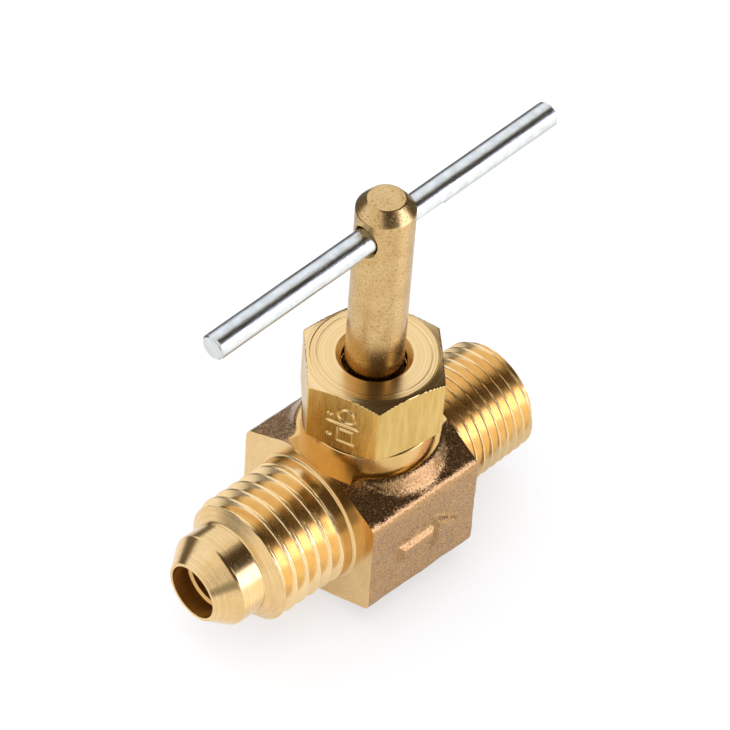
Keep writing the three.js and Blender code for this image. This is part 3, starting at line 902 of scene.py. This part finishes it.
def handle_bar():
    """Drawn bar with broken end edges, staked flat on both sides of the stem."""
    columns = 128
    row_step = 0.11
    end_rows = np.array([1e-3, 0.05, 0.15])
    middle_rows = np.arange(-BAR_HALF + 0.3, BAR_HALF - 0.3, row_step)
    x = np.concatenate([end_rows - BAR_HALF, middle_rows, BAR_HALF - end_rows[::-1]])[:, None]
    angle = angles(columns)[None]
    end_drop, end_reach = 0.16, 0.17
    rounding = end_drop * (1 - ease(0, end_reach, BAR_HALF - np.abs(x)))
    radius = BAR_RADIUS - rounding + 0 * angle
    radius = radius + 0.006 * ripple(x + 0 * angle, np.cos(angle) + 0 * x, np.sin(angle) + 0 * x, 3, 4.0)
    stake_depth, stake_facing = 0.28, math.radians(-128)
    near_stake = ease(-3.9, -3.6, x) * (1 - ease(-2.5, -2.3, x))
    far_stake = ease(2.3, 2.5, x) * (1 - ease(5.6, 6.0, x))
    staked = np.maximum(near_stake, far_stake)
    plane = (BAR_RADIUS - stake_depth) / np.maximum(np.cos(angle - stake_facing), 0.2)
    flattened = soft_min(radius, plane, 0.04)
    radius = radius + (flattened - radius) * staked
    bar = round_grid("handle_bar_visual", radius, x[:, 0], [zinc], axis="X")
    bar.rotation_euler = (0, 0, BAR_YAW)
    bar.location = (0, 0, BAR_Z * MM)
    smooth_shade(bar, 40)
    attach(bar, "handle_bar", "stem")


def hidden_ring(node, body, inner, outer, skin, fillet):
    low, high = extent(node)
    corners = [(inner, low[2]), (outer, low[2]), (outer, high[2]), (inner, high[2])]
    piece = turned(node + "_visual", corners, [skin], fillet=fillet, ring=True)
    smooth_shade(piece)
    attach(piece, node, body)


def packing_set():
    """Washer, three packing rings, the stem's seal ring and the gland, all out of sight."""
    inner, outer = PACKING_INNER, PACKING_OUTER
    hidden_ring("packing_washer", "valve_body", inner, outer, turned_z, 0.08)
    for level in ("lower", "middle", "upper"):
        name = "packing_ring_" + level
        hidden_ring(name, "valve_body", inner, outer, packing, 0.22)
    seal = "stem_seal_ring"
    hidden_ring(seal, seal, SEAL_INNER, SEAL_OUTER, packing, 0.15)
    bottom, top = gland_low[2], gland_high[2]
    flange_bottom = top - GLAND_FLANGE_HEIGHT
    corners = [
        (inner, bottom),
        (GLAND_SLEEVE, bottom),
        (GLAND_SLEEVE, flange_bottom),
        (GLAND_FLANGE, flange_bottom),
        (GLAND_FLANGE, top),
        (inner, top),
    ]
    gland = turned("packing_gland_visual", corners, [turned_z], fillet=0.12, ring=True)
    smooth_shade(gland)
    attach(gland, "packing_gland", "packing_gland")


# ---------- studio ----------
def floor():
    """Pale paper, lit from above and glowing a little, that metal sees darker far away."""
    half = 1.5
    points = np.array([(-half, -half, 0), (half, -half, 0), (half, half, 0), (-half, half, 0)]) / MM
    material, graph = new_material("floor_paper")
    ground = make_object("floor", points, np.array([(0, 1, 2, 3)]), np.zeros((0, 3), int), [material])
    ground.location.z = (KEEL - 0.03) * MM
    place = graph.millimetres()
    x, y, _ = graph.split(place)
    to_the_right = graph.maths("ADD", x, graph.maths("MINIMUM", y, 0.0))
    far_x = graph.remap(to_the_right, 25.0, 90.0, 0.0, 1.0, smooth=True)
    far_y = graph.remap(y, 26.0, 70.0, 0.0, 1.0, smooth=True)
    far = graph.maths("MAXIMUM", far_x, far_y)
    grain = graph.noise(place, 0.08, 3.0)
    paper = graph.mix(grain, (0.90, 0.90, 0.90, 1.0), (0.88, 0.88, 0.88, 1.0))
    dim = graph.mix(graph.maths("MULTIPLY", far, 0.85), paper, (0.0, 0.0, 0.0, 1.0))
    glossy = graph.add("LightPath", {}, "Is Glossy Ray")
    seen = graph.mix(glossy, paper, dim)
    towards = tuple(-Vector((0.52, -0.78, -0.35)).normalized())
    incoming = graph.add("NewGeometry", {}, "Incoming")
    closeness = graph.add("VectorMath", {0: incoming, 1: towards}, "Value", operation="DOT_PRODUCT")
    sheen = graph.maths("MULTIPLY", graph.remap(closeness, 0.8, 0.97, 0.0, 0.5, smooth=True), glossy)
    to_the_left = graph.remap(x, 5.0, -20.0, 0.0, 0.17, smooth=True)
    sheen = graph.maths("ADD", sheen, graph.maths("MULTIPLY", to_the_left, glossy))
    watched = graph.add("LightPath", {}, "Is Camera Ray")
    glow = graph.maths("ADD", sheen, graph.remap(watched, 0.0, 1.0, 0.5, 0.7))
    share = graph.mix(watched, (0.55, 0.55, 0.55, 1.0), (0.42, 0.42, 0.42, 1.0))
    shade = graph.add("BsdfDiffuse", {"Color": graph.mix(1.0, seen, share, "MULTIPLY")})
    lit = graph.add("Emission", {"Color": seen, "Strength": glow})
    shader = graph.add("AddShader", {0: shade, 1: lit})
    graph.add("OutputMaterial", {"Surface": shader})


def studio_sky():
    """Soft boxes all round as seen in the metal, and plain white behind the object."""
    world = bpy.data.worlds.new("studio")
    bpy.context.scene.world = world
    world.use_nodes = True
    graph = Graph(world.node_tree)
    direction = graph.add("TexCoord", {}, "Generated")
    warm = (1.0, 0.72, 0.42)
    plain = (1.0, 1.0, 1.0)
    cool = (0.96, 1.0, 1.28)
    # direction, full inside this many degrees, gone outside this many, brightness, tint
    patches = [
        ((0.0, 0.98, 0.0), 60, 80, 1.22, (1.0, 1.04, 1.16)),
        ((-0.2, 0.97, 0.02), 13, 24, 0.14, warm),
        ((0.5, 0.865, -0.06), 11, 18, 0.18, warm),
        ((0.97, -0.05, -0.05), 24, 38, 0.15, warm),
        ((-0.45, -0.62, 0.64), 14, 21, 0.07, warm),
        ((0.75, -0.42, 0.52), 24, 32, 0.07, warm),
        ((-0.05, -0.50, 0.865), 37, 45, 0.07, warm),
        ((-0.63, -0.80, 0.05), 12, 24, 0.36, plain),
        ((0.5, -0.85, 0.15), 18, 27, 3.2, cool),
        ((0.2, -0.68, 0.70), 6, 10, 1.6, plain),
    ]
    level = graph.mix(0.0, (1.15, 1.15, 1.15, 1.0), (0.0, 0.0, 0.0, 1.0))
    for centre, inner, outer, brightness, tint in patches:
        unit = tuple(Vector(centre).normalized())
        closeness = graph.add("VectorMath", {0: direction, 1: unit}, "Value", operation="DOT_PRODUCT")
        low, high = math.cos(math.radians(outer)), math.cos(math.radians(inner))
        inside = graph.remap(closeness, low, high, 0.0, 1.0, smooth=True)
        level = graph.mix(inside, level, tuple(brightness * part for part in tint) + (1.0,))
    camera_ray = graph.add("LightPath", {}, "Is Camera Ray")
    level = graph.mix(camera_ray, level, (1.0, 1.0, 1.0, 1.0))
    shader = graph.add("Background", {"Color": level, "Strength": 1.0})
    graph.add("OutputWorld", {"Surface": shader})


def floor_light():
    """A broad overhead light for the paper that the metal doesn't mirror."""
    data = bpy.data.lights.new("overhead", "AREA")
    data.shape = "DISK"
    data.size = 0.7
    data.energy = 3.2
    place = Vector((-0.1, -0.15, 0.7))
    light = bpy.data.objects.new("overhead", data)
    light.location = place
    light.rotation_euler = place.to_track_quat("Z", "Y").to_euler()
    light.visible_glossy = False
    bpy.context.scene.collection.objects.link(light)


def camera():
    """The photo's view, from a camera fit. Distances are in mm."""
    azimuth = math.radians(-46.88)
    elevation = math.radians(46.78)
    roll = math.radians(4.55)
    distance = 371.53
    target = Vector((0, 0, 10)) + Vector(FLOW_AXIS)
    back = Vector(
        (
            math.sin(azimuth) * math.cos(elevation),
            -math.cos(azimuth) * math.cos(elevation),
            math.sin(elevation),
        )
    )
    level = Vector((math.cos(azimuth), math.sin(azimuth), 0))
    upright = back.cross(level)
    right = level * math.cos(roll) + upright * math.sin(roll)
    up = upright * math.cos(roll) - level * math.sin(roll)
    data = bpy.data.cameras.new("camera")
    data.lens = 229.28
    data.sensor_width = 36.0
    data.shift_x = -0.0088
    data.shift_y = 0.0386
    data.clip_start = 0.01
    view = bpy.data.objects.new("camera", data)
    place = (target + back * distance) * MM
    axes = Matrix((right, up, back)).transposed().to_4x4()
    view.matrix_world = Matrix.Translation(place) @ axes
    bpy.context.scene.collection.objects.link(view)
    bpy.context.scene.camera = view


valve_body()
packing_nut()
stem()
handle_bar()
packing_set()
floor()
studio_sky()
floor_light()
camera()
bpy.context.scene.view_settings.view_transform = "Standard"
